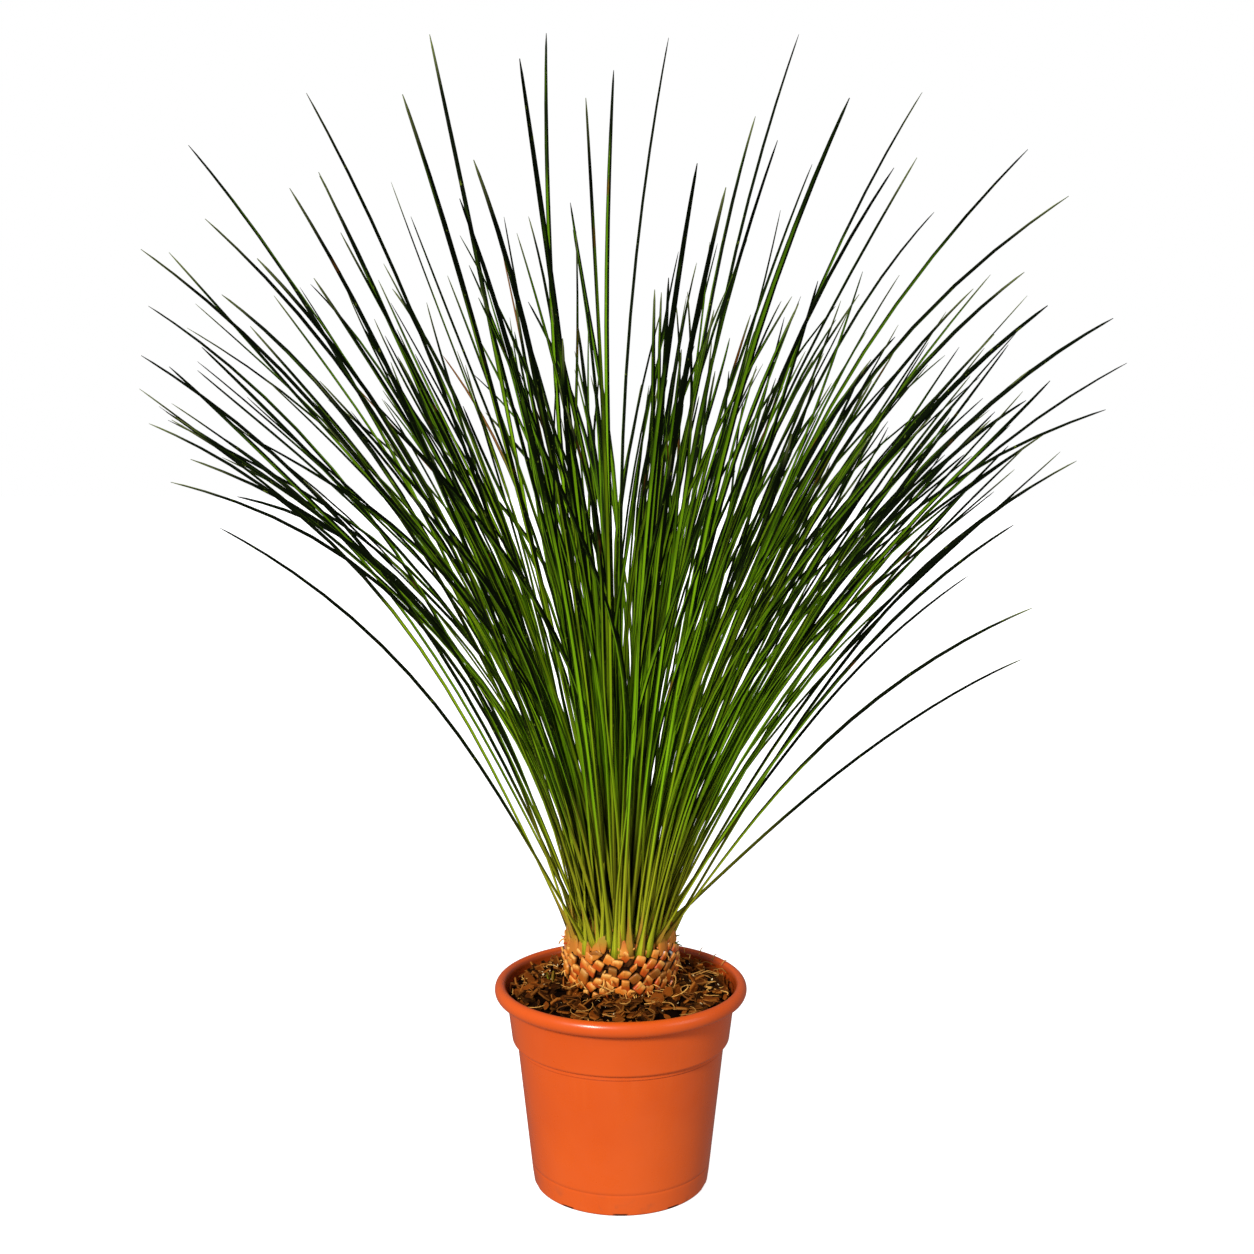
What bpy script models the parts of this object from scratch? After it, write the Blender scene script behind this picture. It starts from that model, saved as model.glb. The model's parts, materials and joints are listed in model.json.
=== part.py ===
"""A mexican grass tree in a round plastic pot. Metres, +Z up, origin on the pot's axis at the floor."""

from math import asin, atan2, cos, degrees, exp, floor, hypot, pi, radians, sin

import bpy
from mathutils import Vector

# Pot: radii and heights of its outer side, from the rim down to the foot.
POT_HEIGHT = 0.1965
RIM_RADIUS = 0.120
RIM_INNER_RADIUS = 0.109
RIM_DEPTH = 0.014
COLLAR_TOP_RADIUS = 0.1088
COLLAR_LOW_RADIUS = 0.1038
COLLAR_LOW_HEIGHT = 0.1435
WALL_TOP_RADIUS = 0.0985
WALL_TOP_HEIGHT = 0.135
FOOT_BAND_RADIUS = 0.0865
FOOT_BAND_HEIGHT = 0.0245
FOOT_RADIUS = 0.0838
FOOT_ROUNDING = 0.003
COLLAR_ROUNDING = 0.003
RIM_TUCK = -70
RIM_STEPS = 12
COLLAR_STEPS = 3
FOOT_STEPS = 4
POT_WALL = 0.0025
POT_FLOOR = 0.006
POT_SIDES = 48

# Underside: a foot ring and a middle pad that touch the floor, and a shallow recess between them.
FOOT_RING_WIDTH = 0.0075
PAD_RADIUS = 0.030
RECESS = 0.003
DRAINS = 10
DRAIN_RADIUS = 0.0045
DRAIN_SIDES = 16
DRAIN_CIRCLE = 0.060
SLOT_WIDTH = 0.014
SLOT_HEIGHT = 0.0022

# Soil: heaped from just under the rim at the wall up to the trunk, with a hollow for the trunk's foot.
SOIL_AT_WALL = 0.186
SOIL_HEAP = 0.012
SOIL_BUMP = 0.0012
SOIL_WAVES = (90, 110, 170)
SOIL_WAVE_SHARE = 0.7
SOIL_RINGS = 6
SOIL_SIDES = 48
TRUNK_CLEARANCE = 0.0015
GAP = 0.0004

# Trunk: a barrel of old leaf stubs under a low dome, from which the leaves spring.
TRUNK_OUTLINE = (
    (0.0360, 0.150),
    (0.0405, 0.165),
    (0.0445, 0.180),
    (0.0475, 0.190),
    (0.0505, 0.199),
    (0.0530, 0.209),
    (0.0537, 0.220),
    (0.0530, 0.232),
    (0.0500, 0.246),
)
CROWN_RADIUS = 0.0500
CROWN_HEIGHT = 0.246
CROWN_RISE = 0.026
CROWN_RINGS = 5
TRUNK_SIDES = 54
TRUNK_RING_STEP = 0.0048
STUBS_AROUND = 18
STUB_ROW = 0.0144
STUB_RELIEF = 0.0024
STUBS_FROM = 0.2004
STUBS_TO = 0.2436
STUBS_BEYOND = 0.045

# Leaves: a four-edged blade, wide at its seat and fine at its tip.
LEAF_HALF_WIDTH = 0.0023
LEAF_SEAT_FLARE = 0.0018
LEAF_FLARE_LENGTH = 0.03
LEAF_TIP_HALF_WIDTH = 0.0005
LEAF_THICKNESS_SHARE = 0.55
LEAF_STATIONS = (0.0, 0.03, 0.08, 0.16, 0.28, 0.42, 0.56, 0.70, 0.82, 0.92, 1.0)
LEAF_LIFT = 0.0028
SEAT_SPACING = 0.0105
SPREADING_ROUNDS = 80

# A leaf's reach from the middle of the crown grows with its elevation, in degrees.
CROWN_MIDDLE = Vector((0.0, 0.0, 0.26))
SHORTEST_REACH = 0.50
LONGEST_REACH = 0.82
SHORTEST_AT = 36.0
LONGEST_AT = 62.0
LOWEST_ELEVATION = 42.0
LEAST_DEPTH = 0.05
MOST_DEPTH = 0.60
DEPTH_HALVINGS = 30
STEEP_DROOP = 0.04
LOW_LEAF_DROOP = 0.34
DROOP_POWER = 1.5

# The outline of the leaves as seen by an eye in front of the pot. Each entry is how far to the side and
# how high a long leaf's tip shows against the upright plane through the pot's axis, and how strongly the
# leaf's middle bends to the right of its line.
EYE_DISTANCE = 1.45
EYE_SIDE = 0.006
EYE_HEIGHT = 0.70
TIPS_IN_FRONT = (
    (-0.370, 0.627, 0.00),
    (-0.414, 0.669, 0.18),
    (-0.395, 0.690, 0.11),
    (-0.437, 0.784, 0.00),
    (-0.434, 0.879, 0.00),
    (-0.329, 0.871, 0.00),
    (-0.375, 0.906, 0.00),
    (-0.298, 0.933, -0.07),
    (-0.281, 1.016, -0.05),
    (-0.195, 1.015, -0.06),
    (-0.145, 0.924, 0.00),
    (-0.132, 0.958, 0.01),
    (-0.090, 1.046, -0.03),
    (-0.031, 1.012, 0.00),
    (0.069, 0.955, 0.00),
    (0.095, 0.934, 0.00),
    (0.141, 0.975, 0.00),
    (0.205, 1.012, 0.00),
    (0.246, 0.951, 0.00),
    (0.366, 0.967, 0.00),
    (0.320, 0.844, 0.00),
    (0.404, 0.926, -0.08),
    (0.388, 0.829, 0.00),
    (0.462, 0.777, 0.00),
    (0.444, 0.735, -0.13),
    (0.363, 0.630, 0.04),
    (0.383, 0.553, 0.01),
)
TIPS_BEHIND = (
    (-0.353, 0.655, 0.21),
    (-0.432, 0.722, 0.06),
    (-0.368, 0.711, 0.00),
    (-0.429, 0.828, 0.00),
    (-0.362, 0.838, 0.00),
    (-0.388, 0.970, -0.07),
    (-0.281, 0.847, 0.00),
    (-0.271, 0.943, -0.08),
    (-0.207, 0.843, 0.00),
    (-0.170, 1.066, -0.07),
    (-0.123, 0.851, 0.00),
    (-0.083, 0.907, 0.00),
    (-0.066, 1.067, -0.09),
    (-0.006, 1.035, -0.03),
    (-0.040, 0.815, 0.00),
    (0.043, 1.063, -0.04),
    (0.069, 0.866, 0.00),
    (0.121, 0.995, 0.00),
    (0.159, 1.066, 0.00),
    (0.146, 0.832, 0.00),
    (0.270, 1.016, 0.00),
    (0.283, 0.911, 0.00),
    (0.250, 0.800, 0.00),
    (0.366, 0.858, 0.00),
    (0.448, 0.817, 0.00),
    (0.371, 0.743, 0.00),
    (0.419, 0.688, 0.00),
    (0.392, 0.673, 0.00),
    (0.322, 0.582, 0.05),
    (0.374, 0.504, 0.06),
)


def clear_scene():
    for old in list(bpy.data.objects):
        bpy.data.objects.remove(old, do_unlink=True)


def new_collection(name, shown=True):
    made = bpy.data.collections.new(name)
    made.hide_render = not shown
    bpy.context.scene.collection.children.link(made)
    return made


def material(name, colour, roughness):
    made = bpy.data.materials.new(name)
    made.use_nodes = True
    shader = made.node_tree.nodes["Principled BSDF"]
    shader.inputs["Base Color"].default_value = (*colour, 1.0)
    shader.inputs["Roughness"].default_value = roughness
    shader.inputs["Metallic"].default_value = 0.0
    made.diffuse_color = (*colour, 1.0)
    return made


def place(obj, collection, parent=None, look=None):
    collection.objects.link(obj)
    obj.parent = parent
    if look:
        obj.data.materials.append(look)
    return obj


def smooth_step(share):
    share = min(max(share, 0.0), 1.0)
    return share * share * (3 - 2 * share)


def arc(middle, half_width, half_height, start, end, steps):
    """Points of an elliptical arc, with its angles in degrees."""
    turns = [radians(start + (end - start) * i / steps) for i in range(steps + 1)]
    return [
        (middle[0] + half_width * cos(turn), middle[1] + half_height * sin(turn))
        for turn in turns
    ]


def turned(name, profile, sides):
    """An object whose profile of radius and height pairs is turned round Z."""
    mesh = bpy.data.meshes.new(name)
    points = [(radius, 0.0, height) for radius, height in profile]
    mesh.from_pydata(points, [(i, i + 1) for i in range(len(points) - 1)], [])
    obj = bpy.data.objects.new(name, mesh)
    screw = obj.modifiers.new("Turn", "SCREW")
    screw.steps = sides
    screw.render_steps = sides
    screw.use_merge_vertices = True
    screw.merge_threshold = 0.00005
    screw.use_smooth_shade = True
    return obj


def applied(obj, collection):
    """The same object with its modifiers applied, so that its points can be moved."""
    collection.objects.link(obj)
    graph = bpy.context.evaluated_depsgraph_get()
    mesh = bpy.data.meshes.new_from_object(obj.evaluated_get(graph))
    name = obj.name
    bpy.data.objects.remove(obj, do_unlink=True)
    mesh.name = name
    return bpy.data.objects.new(name, mesh)


def inner_radius(height):
    """The radius of the pot's inner wall at a height."""
    outer = (
        (0.0, FOOT_RADIUS),
        (FOOT_BAND_HEIGHT, FOOT_BAND_RADIUS),
        (WALL_TOP_HEIGHT, WALL_TOP_RADIUS),
        (COLLAR_LOW_HEIGHT, COLLAR_LOW_RADIUS),
        (POT_HEIGHT - RIM_DEPTH, COLLAR_TOP_RADIUS),
    )
    for (low, low_radius), (high, high_radius) in zip(outer, outer[1:]):
        if height <= high:
            share = (height - low) / (high - low)
            return low_radius + share * (high_radius - low_radius) - POT_WALL
    return COLLAR_TOP_RADIUS - POT_WALL


def pot_profile():
    rim_low = POT_HEIGHT - RIM_DEPTH
    rim_middle = ((RIM_RADIUS + RIM_INNER_RADIUS) / 2, POT_HEIGHT - RIM_DEPTH / 2)
    rim_half = (RIM_RADIUS - RIM_INNER_RADIUS) / 2
    inside = [(0.0, POT_FLOOR)]
    for height in (POT_FLOOR, FOOT_BAND_HEIGHT, WALL_TOP_HEIGHT, COLLAR_LOW_HEIGHT, rim_low):
        inside.append((inner_radius(height), height))
    rim = arc(rim_middle, rim_half, RIM_DEPTH / 2, 180, RIM_TUCK, RIM_STEPS)
    collar_middle = (COLLAR_LOW_RADIUS - COLLAR_ROUNDING, COLLAR_LOW_HEIGHT)
    collar = [(COLLAR_TOP_RADIUS, rim_low)]
    collar += arc(collar_middle, COLLAR_ROUNDING, COLLAR_ROUNDING, 0, -90, COLLAR_STEPS)
    wall = [(WALL_TOP_RADIUS, WALL_TOP_HEIGHT), (FOOT_BAND_RADIUS, FOOT_BAND_HEIGHT)]
    foot_middle = (FOOT_RADIUS - FOOT_ROUNDING, FOOT_ROUNDING)
    foot = arc(foot_middle, FOOT_ROUNDING, FOOT_ROUNDING, 0, -90, FOOT_STEPS)
    ring_inside = FOOT_RADIUS - FOOT_ROUNDING - FOOT_RING_WIDTH
    under = [
        (ring_inside, 0.0),
        (ring_inside - RECESS, RECESS),
        (PAD_RADIUS + RECESS, RECESS),
        (PAD_RADIUS, 0.0),
        (0.0, 0.0),
    ]
    return inside + rim + collar + wall + foot + under


def drain_cutters(collection):
    """Round holes through the recess and slots under the foot ring, evenly round the pot."""
    for i in range(DRAINS):
        turn = 2 * pi * (i + 0.5) / DRAINS
        bpy.ops.mesh.primitive_cylinder_add(
            vertices=DRAIN_SIDES,
            radius=DRAIN_RADIUS,
            depth=4 * POT_FLOOR,
            location=(DRAIN_CIRCLE * cos(turn), DRAIN_CIRCLE * sin(turn), POT_FLOOR / 2),
        )
        hole = bpy.context.object
        bpy.ops.mesh.primitive_cube_add(
            size=1.0,
            location=(FOOT_RADIUS * cos(turn), FOOT_RADIUS * sin(turn), 0.0),
            rotation=(0.0, 0.0, turn),
            scale=(4 * FOOT_RING_WIDTH, SLOT_WIDTH, 2 * SLOT_HEIGHT),
        )
        slot = bpy.context.object
        for cutter, kind in ((hole, "hole"), (slot, "slot")):
            cutter.name = f"drain_{kind}_cutter_{i + 1:02d}"
            cutter.hide_render = True
            cutter.display_type = "WIRE"
            for other in list(cutter.users_collection):
                other.objects.unlink(cutter)
            collection.objects.link(cutter)


def make_pot(collection, cutters, parent):
    look = material("pot_plastic", (0.80, 0.15, 0.035), 0.38)
    pot = place(turned("pot", pot_profile(), POT_SIDES), collection, parent, look)
    drain_cutters(cutters)
    cut = pot.modifiers.new("Drains", "BOOLEAN")
    cut.operation = "DIFFERENCE"
    cut.operand_type = "COLLECTION"
    cut.collection = cutters
    cut.solver = "EXACT"
    return pot


def trunk_radius(height):
    for (low_radius, low), (high_radius, high) in zip(TRUNK_OUTLINE, TRUNK_OUTLINE[1:]):
        if height <= high:
            share = (height - low) / (high - low)
            return low_radius + share * (high_radius - low_radius)
    return CROWN_RADIUS


def crown_height(radius):
    return CROWN_HEIGHT + CROWN_RISE * (1 - (radius / CROWN_RADIUS) ** 2)


def trunk_profile():
    crown = [
        (CROWN_RADIUS * i / CROWN_RINGS, crown_height(CROWN_RADIUS * i / CROWN_RINGS))
        for i in range(CROWN_RINGS)
    ]
    low, high = TRUNK_OUTLINE[0][1], CROWN_HEIGHT
    steps = round((high - low) / TRUNK_RING_STEP)
    heights = [high + (low - high) * i / steps for i in range(steps + 1)]
    return crown + [(trunk_radius(height), height) for height in heights] + [(0.0, low)]


def stub_relief(turn, height):
    """How far a stub stands out here. Each row of stubs is shifted by half a stub."""
    if not STUBS_FROM < height < STUBS_TO:
        return 0.0
    row = (height - STUBS_FROM) / STUB_ROW
    along = turn / (2 * pi) * STUBS_AROUND + 0.5 * (floor(row) % 2)
    across = 2 * abs(along - round(along))
    up = 2 * abs(row - floor(row) - 0.5)
    return STUB_RELIEF * (1 - across**2) * (1 - up**2)


def make_trunk(collection, parent):
    look = material("trunk_stubs", (0.62, 0.33, 0.12), 0.6)
    trunk = applied(turned("trunk", trunk_profile(), TRUNK_SIDES), collection)
    for vertex in trunk.data.vertices:
        turn, radius = atan2(vertex.co.y, vertex.co.x), hypot(vertex.co.x, vertex.co.y)
        if radius < STUBS_BEYOND:
            continue
        scale = 1 + stub_relief(turn, vertex.co.z) / radius
        vertex.co.x *= scale
        vertex.co.y *= scale
    return place(trunk, collection, parent, look)


def soil_profile():
    low = TRUNK_OUTLINE[0][1] - TRUNK_CLEARANCE
    hollow = [(0.0, low)]
    top_height = SOIL_AT_WALL + SOIL_HEAP
    heights = [low] + [height for _, height in TRUNK_OUTLINE if low < height < top_height]
    for height in heights + [top_height]:
        hollow.append((trunk_radius(height) + TRUNK_CLEARANCE, height))
    start = hollow[-1][0]
    end = inner_radius(SOIL_AT_WALL) - GAP
    top = []
    for i in range(1, SOIL_RINGS + 1):
        share = i / SOIL_RINGS
        top.append((start + (end - start) * share, SOIL_AT_WALL + SOIL_HEAP * (1 - share**2)))
    side = [
        (inner_radius(height) - GAP, height)
        for height in (COLLAR_LOW_HEIGHT, WALL_TOP_HEIGHT, FOOT_BAND_HEIGHT, POT_FLOOR + GAP)
    ]
    return hollow + top + side + [(0.0, POT_FLOOR + GAP)]


def make_soil(collection, parent):
    look = material("bark_soil", (0.09, 0.04, 0.018), 0.9)
    soil = applied(turned("potting_soil", soil_profile(), SOIL_SIDES), collection)
    first, second, third = SOIL_WAVES
    for vertex in soil.data.vertices:
        x, y, z = vertex.co
        if z > SOIL_AT_WALL - GAP and hypot(x, y) > CROWN_RADIUS:
            wave = SOIL_WAVE_SHARE * sin(first * x + 1) * sin(second * y)
            wave += (1 - SOIL_WAVE_SHARE) * sin(third * x)
            vertex.co.z += SOIL_BUMP * wave
    return place(soil, collection, parent, look)


def reach(elevation):
    share = smooth_step((elevation - SHORTEST_AT) / (LONGEST_AT - SHORTEST_AT))
    return SHORTEST_REACH + share * (LONGEST_REACH - SHORTEST_REACH)


def elevation_of(tip):
    lean = tip - CROWN_MIDDLE
    return degrees(asin(lean.z / lean.length))


def sighted_point(side, height, depth):
    """Where the eye's line through an outline point is at a depth behind or before the pot's axis."""
    scale = 1 + depth / EYE_DISTANCE
    across, up = EYE_SIDE + (side - EYE_SIDE) * scale, EYE_HEIGHT + (height - EYE_HEIGHT) * scale
    return Vector((across, depth, up))


def leaf_tip(side, height, facing):
    """The tip on the eye's line that is as far from the crown as a leaf of its elevation reaches."""
    near, far = LEAST_DEPTH, MOST_DEPTH
    for _ in range(DEPTH_HALVINGS):
        depth = (near + far) / 2
        tip = sighted_point(side, height, facing * depth)
        if (tip - CROWN_MIDDLE).length < reach(elevation_of(tip)):
            near = depth
        else:
            far = depth
    return sighted_point(side, height, facing * far)


def leaf_seats(tips):
    """Each leaf's seat on the crown, lower leaves further out, pushed apart where they are too close."""
    seats = []
    for tip in tips:
        out = Vector((tip.x, tip.y)).normalized()
        lean = (90 - elevation_of(tip)) / (90 - LOWEST_ELEVATION)
        seats.append(out * (CROWN_RADIUS * min(lean, 1.0)))
    for _ in range(SPREADING_ROUNDS):
        for i, first in enumerate(seats):
            for second in seats[:i]:
                apart = first - second
                short = SEAT_SPACING - apart.length
                if short > 0:
                    push = apart.normalized() * (short / 2)
                    first += push
                    second -= push
        for seat in seats:
            if seat.length > CROWN_RADIUS:
                seat *= CROWN_RADIUS / seat.length
    return [Vector((seat.x, seat.y, crown_height(seat.length))) for seat in seats]


def leaf_spine(seat, tip, bend):
    """Points from the seat to the tip. The outer half droops most, and low leaves droop more than steep ones."""
    chord = tip - seat
    share = (90 - degrees(asin(chord.z / chord.length))) / (90 - LOWEST_ELEVATION)
    droop = STEEP_DROOP + LOW_LEAF_DROOP * (min(share, 1.0) * chord.length / LONGEST_REACH) ** DROOP_POWER
    along = chord.normalized()
    up = (Vector((0, 0, 1)) - along * along.z).normalized()
    right = Vector((along.z, 0, -along.x)).normalized()
    bow = up * droop + right * bend
    start = seat + (along + bow).normalized() * LEAF_LIFT
    chord = tip - start
    return [start + chord * s + bow * (chord.length * (s - s**3)) for s in LEAF_STATIONS]


def leaf_half_width(share, length):
    flare = LEAF_SEAT_FLARE * exp(-share * length / LEAF_FLARE_LENGTH)
    taper = 1 - share**3
    return LEAF_TIP_HALF_WIDTH + (LEAF_HALF_WIDTH - LEAF_TIP_HALF_WIDTH + flare) * taper


def blade_section(collection):
    """The leaf's four-edged section, at a half width of one metre, which each point's radius scales."""
    curve = bpy.data.curves.new("blade_section", "CURVE")
    curve.dimensions = "2D"
    curve.fill_mode = "NONE"
    spline = curve.splines.new("POLY")
    spline.points.add(3)
    thick = LEAF_THICKNESS_SHARE
    for point, (x, y) in zip(spline.points, ((1, 0), (0, -thick), (-1, 0), (0, thick))):
        point.co = (x, y, 0, 1)
    spline.use_cyclic_u = True
    section = bpy.data.objects.new("blade_section", curve)
    section.hide_render = True
    section.display_type = "WIRE"
    collection.objects.link(section)
    return section


def make_leaf(name, spine, section, collection, parent, look):
    length = (spine[-1] - spine[0]).length
    curve = bpy.data.curves.new(name, "CURVE")
    curve.dimensions = "3D"
    curve.twist_mode = "Z_UP"
    curve.bevel_mode = "OBJECT"
    curve.bevel_object = section
    curve.use_fill_caps = True
    spline = curve.splines.new("POLY")
    spline.points.add(len(spine) - 1)
    for point, place_at, share in zip(spline.points, spine, LEAF_STATIONS):
        point.co = (*(place_at - spine[0]), 1.0)
        point.radius = leaf_half_width(share, length)
    leaf = place(bpy.data.objects.new(name, curve), collection, parent, look)
    leaf.location = spine[0]
    return leaf


def make_leaves(collection, guides, parent):
    look = material("leaf_green", (0.10, 0.22, 0.03), 0.45)
    section = blade_section(guides)
    tips = [leaf_tip(side, height, -1) for side, height, _ in TIPS_IN_FRONT]
    tips += [leaf_tip(side, height, 1) for side, height, _ in TIPS_BEHIND]
    bends = [bend for _, _, bend in TIPS_IN_FRONT + TIPS_BEHIND]
    for i, (seat, tip, bend) in enumerate(zip(leaf_seats(tips), tips, bends)):
        spine = leaf_spine(seat, tip, bend)
        make_leaf(f"leaf_{i + 1:02d}", spine, section, collection, parent, look)


def main():
    clear_scene()
    parts = new_collection("potted_mexican_grass_tree")
    cutters = new_collection("cutters", shown=False)
    guides = new_collection("guides", shown=False)
    stand = bpy.data.objects.new("stand", None)
    parts.objects.link(stand)
    make_pot(parts, cutters, stand)
    make_soil(parts, stand)
    make_trunk(parts, stand)
    make_leaves(parts, guides, stand)


main()
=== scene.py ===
"""Looks of a potted Mexican grass tree: pot, soil, trunk of old leaf stubs and a rosette of long fine leaves."""

import json
import math

import bpy
import numpy as np
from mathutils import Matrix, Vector

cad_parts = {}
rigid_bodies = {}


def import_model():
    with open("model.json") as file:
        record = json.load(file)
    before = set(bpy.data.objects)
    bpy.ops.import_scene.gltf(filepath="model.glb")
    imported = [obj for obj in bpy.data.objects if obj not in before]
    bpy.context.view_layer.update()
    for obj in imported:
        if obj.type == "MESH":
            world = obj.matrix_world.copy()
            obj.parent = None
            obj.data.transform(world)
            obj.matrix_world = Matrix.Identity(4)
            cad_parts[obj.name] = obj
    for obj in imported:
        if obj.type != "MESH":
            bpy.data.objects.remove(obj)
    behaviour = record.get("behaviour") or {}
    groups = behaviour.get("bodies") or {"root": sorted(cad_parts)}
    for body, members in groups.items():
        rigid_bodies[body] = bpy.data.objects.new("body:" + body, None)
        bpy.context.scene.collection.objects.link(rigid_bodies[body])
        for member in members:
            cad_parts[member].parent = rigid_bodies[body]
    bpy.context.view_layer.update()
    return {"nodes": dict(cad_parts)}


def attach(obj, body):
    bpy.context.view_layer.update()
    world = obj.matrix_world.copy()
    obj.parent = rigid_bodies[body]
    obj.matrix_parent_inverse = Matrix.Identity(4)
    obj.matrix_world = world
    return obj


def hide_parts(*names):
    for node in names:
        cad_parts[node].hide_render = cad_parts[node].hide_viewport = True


for old in list(bpy.data.objects):
    bpy.data.objects.remove(old, do_unlink=True)
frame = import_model()

# The eye of the photograph, in metres and degrees, and its lens for a square frame.
EYE = (0.0059, -1.45, 0.702)
EYE_TILT = 6.59
LENS = 45.06
SENSOR = 36.0

GOLDEN_TURN = math.pi * (3 - math.sqrt(5))
UP = np.array([0.0, 0.0, 1.0])


# Meshes


def unit(v):
    """Vectors of length one."""
    return v / np.maximum(np.linalg.norm(v, axis=-1, keepdims=True), 1e-12)


def mesh_piece(name, points, faces, look, slot, smooth=True, floats=None, uv=None, replaces=()):
    """One piece of the object, from its points and faces, with named values on its points."""
    mesh = bpy.data.meshes.new(name)
    mesh.from_pydata(np.asarray(points).tolist(), [], faces)
    mesh.polygons.foreach_set("use_smooth", [smooth] * len(mesh.polygons))
    for key, values in (floats or {}).items():
        layer = mesh.attributes.new(key, "FLOAT", "POINT")
        layer.data.foreach_set("value", np.asarray(values, np.float32))
    if uv is not None:
        layer = mesh.uv_layers.new(name="lengthwise")
        layer.data.foreach_set("uv", np.asarray(uv, np.float32).ravel())
    mesh.materials.append(look)
    obj = bpy.data.objects.new(name, mesh)
    bpy.context.scene.collection.objects.link(obj)
    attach(obj, "root")
    if replaces:
        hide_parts(*replaces)
    return obj


def lathe(profile, sides):
    """Points and faces of a closed profile of radius and height pairs turned round Z, from axis to axis."""
    turns = np.arange(sides) * (2 * math.pi / sides)
    ring = np.stack([np.cos(turns), np.sin(turns)], axis=1)
    points, faces = [(0.0, 0.0, profile[0][1])], []
    body = profile[1:-1]
    for radius, height in body:
        points += [(radius * x, radius * y, height) for x, y in ring]
    points.append((0.0, 0.0, profile[-1][1]))
    last = len(points) - 1
    for i in range(sides):
        j = (i + 1) % sides
        faces.append((1 + j, 1 + i, 0))
        for row in range(len(body) - 1):
            a, b = 1 + row * sides, 1 + (row + 1) * sides
            faces.append((a + j, b + j, b + i, a + i))
        end = 1 + (len(body) - 1) * sides
        faces.append((end + i, end + j, last))
    return np.array(points), faces


def between(table, height):
    """The radius at a height, from rows of radius and height."""
    radii, heights = zip(*table)
    return np.interp(height, heights, radii)


def arc(middle, half_width, half_height, start, end, steps):
    """Points on an ellipse from one angle in degrees to another."""
    turns = np.radians(np.linspace(start, end, steps + 1))
    return [(middle[0] + half_width * math.cos(t), middle[1] + half_height * math.sin(t)) for t in turns]


def ring_faces(rows, sides):
    """Faces between rows of points that each go round."""
    return [
        (r * sides + k, r * sides + (k + 1) % sides, (r + 1) * sides + (k + 1) % sides, (r + 1) * sides + k)
        for r in range(rows - 1)
        for k in range(sides)
    ]


def closed_faces(rows, sides):
    """The same with a face over each end."""
    last = (rows - 1) * sides
    return ring_faces(rows, sides) + [tuple(range(sides))[::-1], tuple(last + k for k in range(sides))]


def level_ways(turn):
    """The level directions away from the axis and round it."""
    c, s = math.cos(turn), math.sin(turn)
    return np.array([c, s, 0.0]), np.array([-s, c, 0.0])


def gather(parts):
    """Joins lists of points, faces and point values."""
    points, faces, floats = [], [], {}
    count = 0
    for part_points, part_faces, part_floats in parts:
        points.append(part_points)
        faces += [tuple(count + i for i in f) for f in part_faces]
        for key, value in part_floats.items():
            floats.setdefault(key, []).append(np.broadcast_to(value, len(part_points)))
        count += len(part_points)
    return np.concatenate(points), faces, {k: np.concatenate(v) for k, v in floats.items()}


def joined_piece(name, parts, look, slot, **settings):
    points, faces, floats = gather(parts)
    return mesh_piece(name, points, faces, look, slot, floats=floats, **settings)


# Materials

NOISE_ROUGHNESS = 0.55
# The colour sockets of a mix node share their names with others, so they go by number.
MIX_SHARE, MIX_A, MIX_B, MIX_RESULT = 0, 6, 7, 2


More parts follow.
